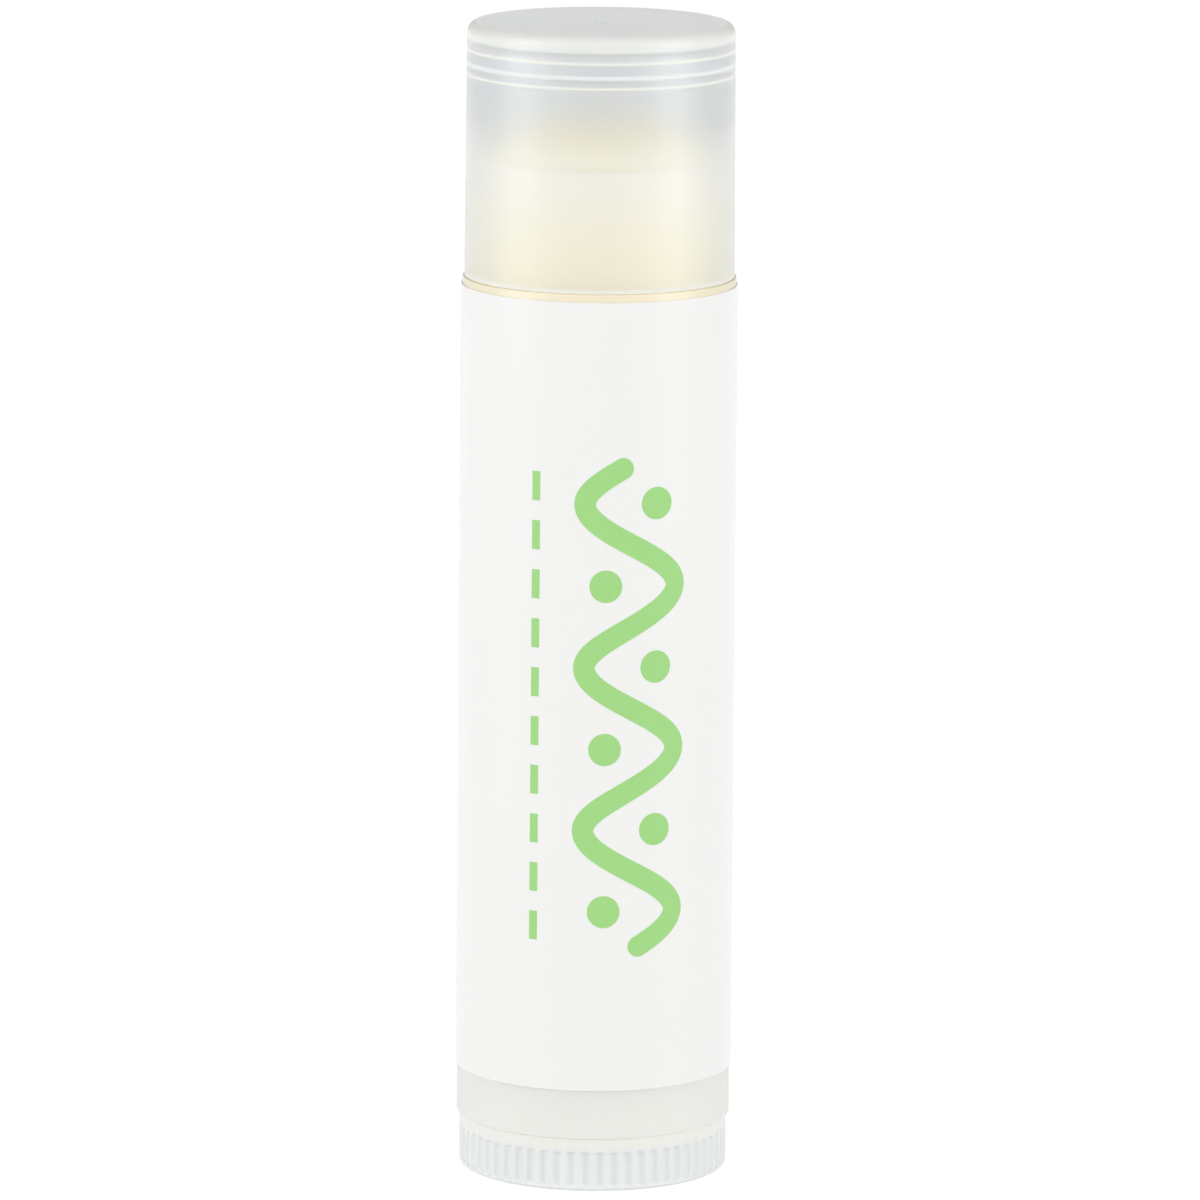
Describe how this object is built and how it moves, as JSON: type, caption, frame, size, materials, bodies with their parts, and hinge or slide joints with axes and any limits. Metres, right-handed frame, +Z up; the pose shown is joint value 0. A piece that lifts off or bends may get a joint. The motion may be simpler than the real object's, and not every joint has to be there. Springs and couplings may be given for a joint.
{
  "type": "lip balm stick",
  "caption": "Twist-up lip balm stick: a translucent push-on cap, a labelled barrel and a ribbed foot wheel whose spindle raises the balm.",
  "frame": {"origin": "centre of the wheel's foot, on the surface that the stick stands on", "axes": "+Z up along the stick's axis towards the cap, -Y towards the picture's camera, the label's lap at +Y"},
  "size_m": [0.0162, 0.0163, 0.0675],
  "materials": {
    "cap_plastic": "frosted translucent natural polypropylene, smooth moulded",
    "barrel_plastic": "milky natural polypropylene, smooth moulded",
    "label_film": "white satin-gloss film with green print",
    "wheel_plastic": "white polypropylene, satin, fine ribs",
    "carrier_plastic": "white polypropylene, satin",
    "balm_wax": "cream wax, soft sheen"
  },
  "bodies": {
    "barrel": {"barrel": "barrel_plastic", "label": "label_film"},
    "twist_wheel": {"twist_wheel": "wheel_plastic"},
    "carrier": {"carrier": "carrier_plastic", "balm": "balm_wax"},
    "cap": {"cap": "cap_plastic"}
  },
  "joints": [
    {"name": "wheel_turn", "type": "hinge", "parent": "barrel", "child": "twist_wheel", "pos_m": [0, 0, 0], "axis": [0, 0, 1], "range_deg": [0, 4500]},
    {"name": "carrier_rise", "type": "slide", "parent": "barrel", "child": "carrier", "axis": [0, 0, 1], "range_m": [0, 0.04375]},
    {"name": "cap_lift", "type": "slide", "parent": "carrier", "child": "cap", "axis": [0, 0, 1], "range_m": [0, 0.025]}
  ],
  "couplings": [
    {"joint": "wheel_turn", "follows": "carrier_rise", "rad_per_m": 1795.2}
  ]
}
